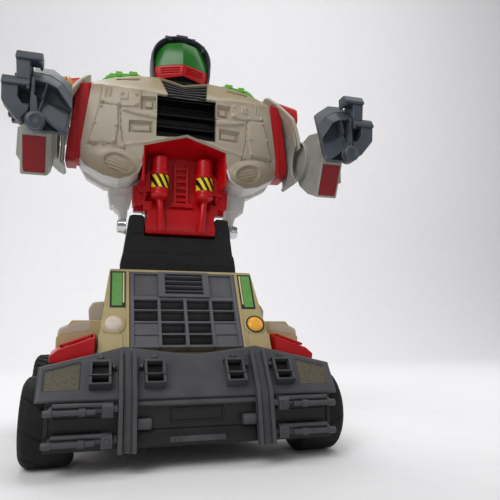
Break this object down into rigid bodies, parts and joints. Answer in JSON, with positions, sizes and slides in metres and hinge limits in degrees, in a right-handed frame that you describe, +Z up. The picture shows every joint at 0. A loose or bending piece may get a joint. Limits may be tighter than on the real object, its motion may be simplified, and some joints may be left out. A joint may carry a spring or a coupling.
{
  "type": "toy robot",
  "caption": "Toy robot with a broad chest, jointed arms and claw hands, hinged at the waist on the cab of a wheeled truck base.",
  "frame": {"origin": "on the floor, under the middle of the bounding box", "axes": "+Z up, the robot faces -Y, and its own left side is +X"},
  "size_m": [0.2508, 0.2098, 0.3485],
  "materials": {
    "dark_grey_plastic": "satin",
    "beige_plastic": "satin",
    "red_plastic": "gloss",
    "black_plastic": "gloss",
    "tyre_rubber": "matte",
    "chrome_cap": "mirror",
    "steel": "satin",
    "nylon": "satin",
    "green_visor": "gloss",
    "lime_plastic": "satin",
    "amber_lens": "satin",
    "cream_lens": "satin",
    "circuit_board": "satin",
    "battery_wrap": "gloss"
  },
  "bodies": {
    "base": {"chassis_pan": "dark_grey_plastic", "truck_body": "beige_plastic", "grille_panel": "dark_grey_plastic", "bumper_plate": "dark_grey_plastic", "bumper_apron": "dark_grey_plastic", "front_axle": "steel", "battery_pack": "battery_wrap", "receiver_board": "circuit_board", "gearbox_frame": "nylon", "waist_hinge_pin": "steel", "left_headlight": "amber_lens", "right_headlight": "cream_lens", "left_bumper_post": "dark_grey_plastic", "right_bumper_post": "dark_grey_plastic", "left_fender_cover": "red_plastic", "right_fender_cover": "red_plastic", "left_motor": "steel", "right_motor": "steel"},
    "battery_door": {"battery_door": "dark_grey_plastic"},
    "power_switch": {"power_switch": "black_plastic"},
    "waist": {"waist_plate": "black_plastic", "left_pivot_cap": "chrome_cap", "right_pivot_cap": "chrome_cap"},
    "torso": {"abdomen_panel": "red_plastic", "chest_front": "beige_plastic", "chest_back": "beige_plastic", "chest_vent": "black_plastic", "left_tank": "red_plastic", "right_tank": "red_plastic", "left_shoulder_pod": "lime_plastic", "right_shoulder_pod": "lime_plastic"},
    "head": {"helmet": "dark_grey_plastic", "visor": "green_visor", "mouth_guard": "red_plastic"},
    "left_front_wheel": {"left_front_tyre": "tyre_rubber", "left_front_rim": "dark_grey_plastic"},
    "left_rear_wheel": {"left_rear_tyre": "tyre_rubber", "left_rear_rim": "dark_grey_plastic", "left_rear_axle": "steel", "left_spur_gear": "nylon"},
    "left_drive_pinion": {"left_pinion": "nylon"},
    "left_arm": {"left_shoulder_hub": "red_plastic", "left_upper_arm": "beige_plastic", "left_shoulder_pad": "beige_plastic"},
    "left_lower_arm": {"left_forearm": "beige_plastic"},
    "left_hand": {"left_fist_palm": "dark_grey_plastic"},
    "left_claw": {"left_fist_fingers": "dark_grey_plastic"},
    "right_front_wheel": {"right_front_tyre": "tyre_rubber", "right_front_rim": "dark_grey_plastic"},
    "right_rear_wheel": {"right_rear_tyre": "tyre_rubber", "right_rear_rim": "dark_grey_plastic", "right_rear_axle": "steel", "right_spur_gear": "nylon"},
    "right_drive_pinion": {"right_pinion": "nylon"},
    "right_arm": {"right_shoulder_hub": "red_plastic", "right_upper_arm": "beige_plastic", "right_shoulder_pad": "beige_plastic"},
    "right_lower_arm": {"right_forearm": "beige_plastic"},
    "right_hand": {"right_fist_palm": "dark_grey_plastic"},
    "right_claw": {"right_fist_fingers": "dark_grey_plastic"}
  },
  "joints": [
    {"name": "battery_door_slide", "type": "slide", "parent": "base", "child": "battery_door", "axis": [0, 1, 0], "range_m": [0, 0.05]},
    {"name": "power_switch_slide", "type": "slide", "parent": "base", "child": "power_switch", "axis": [1, 0, 0], "range_m": [0, 0.008]},
    {"name": "waist_fold", "type": "hinge", "parent": "base", "child": "waist", "pos_m": [0, 0.007, 0.136], "axis": [-1, 0, 0], "range_deg": [0, 80]},
    {"name": "torso_tilt", "type": "hinge", "parent": "waist", "child": "torso", "pos_m": [0, 0.005, 0.169], "axis": [1, 0, 0], "range_deg": [-12, 15]},
    {"name": "head_turn", "type": "hinge", "parent": "torso", "child": "head", "pos_m": [0, 0.017, 0.2965], "axis": [0, 0, 1], "range_deg": [-60, 60]},
    {"name": "left_front_wheel_spin", "type": "hinge", "parent": "base", "child": "left_front_wheel", "pos_m": [0.09, -0.0575, 0.028], "axis": [1, 0, 0], "continuous": true},
    {"name": "left_rear_wheel_spin", "type": "hinge", "parent": "base", "child": "left_rear_wheel", "pos_m": [0.096, 0.0725, 0.032], "axis": [1, 0, 0], "continuous": true},
    {"name": "left_pinion_spin", "type": "hinge", "parent": "base", "child": "left_drive_pinion", "pos_m": [0.038, 0.0557, 0.032], "axis": [1, 0, 0], "continuous": true},
    {"name": "left_shoulder", "type": "hinge", "parent": "torso", "child": "left_arm", "pos_m": [0.0845, -0.004, 0.251], "axis": [-1, 0, 0], "range_deg": [-75, 80]},
    {"name": "left_elbow", "type": "hinge", "parent": "left_arm", "child": "left_lower_arm", "pos_m": [0.0999, -0.026, 0.228], "axis": [-1, 0, 0], "range_deg": [-45, 40]},
    {"name": "left_wrist", "type": "hinge", "parent": "left_lower_arm", "child": "left_hand", "pos_m": [0.1089, -0.067, 0.23], "axis": [0, -1, 0], "range_deg": [-90, 90]},
    {"name": "left_claw_open", "type": "hinge", "parent": "left_hand", "child": "left_claw", "pos_m": [0.1089, -0.0788, 0.2145], "axis": [0, 1, 0], "range_deg": [0, 25]},
    {"name": "right_front_wheel_spin", "type": "hinge", "parent": "base", "child": "right_front_wheel", "pos_m": [-0.09, -0.0575, 0.028], "axis": [1, 0, 0], "continuous": true},
    {"name": "right_rear_wheel_spin", "type": "hinge", "parent": "base", "child": "right_rear_wheel", "pos_m": [-0.096, 0.0725, 0.032], "axis": [1, 0, 0], "continuous": true},
    {"name": "right_pinion_spin", "type": "hinge", "parent": "base", "child": "right_drive_pinion", "pos_m": [-0.038, 0.0557, 0.032], "axis": [1, 0, 0], "continuous": true},
    {"name": "right_shoulder", "type": "hinge", "parent": "torso", "child": "right_arm", "pos_m": [-0.0845, -0.004, 0.251], "axis": [-1, 0, 0], "range_deg": [-75, 80]},
    {"name": "right_elbow", "type": "hinge", "parent": "right_arm", "child": "right_lower_arm", "pos_m": [-0.0999, -0.026, 0.228], "axis": [-1, 0, 0], "range_deg": [-45, 40]},
    {"name": "right_wrist", "type": "hinge", "parent": "right_lower_arm", "child": "right_hand", "pos_m": [-0.1089, -0.067, 0.23], "axis": [0, -1, 0], "range_deg": [-90, 90]},
    {"name": "right_claw_open", "type": "hinge", "parent": "right_hand", "child": "right_claw", "pos_m": [-0.1089, -0.0788, 0.2145], "axis": [0, -1, 0], "range_deg": [0, 25]}
  ],
  "couplings": [
    {"joint": "left_pinion_spin", "follows": "left_rear_wheel_spin", "ratio": -3},
    {"joint": "right_pinion_spin", "follows": "right_rear_wheel_spin", "ratio": -3}
  ]
}
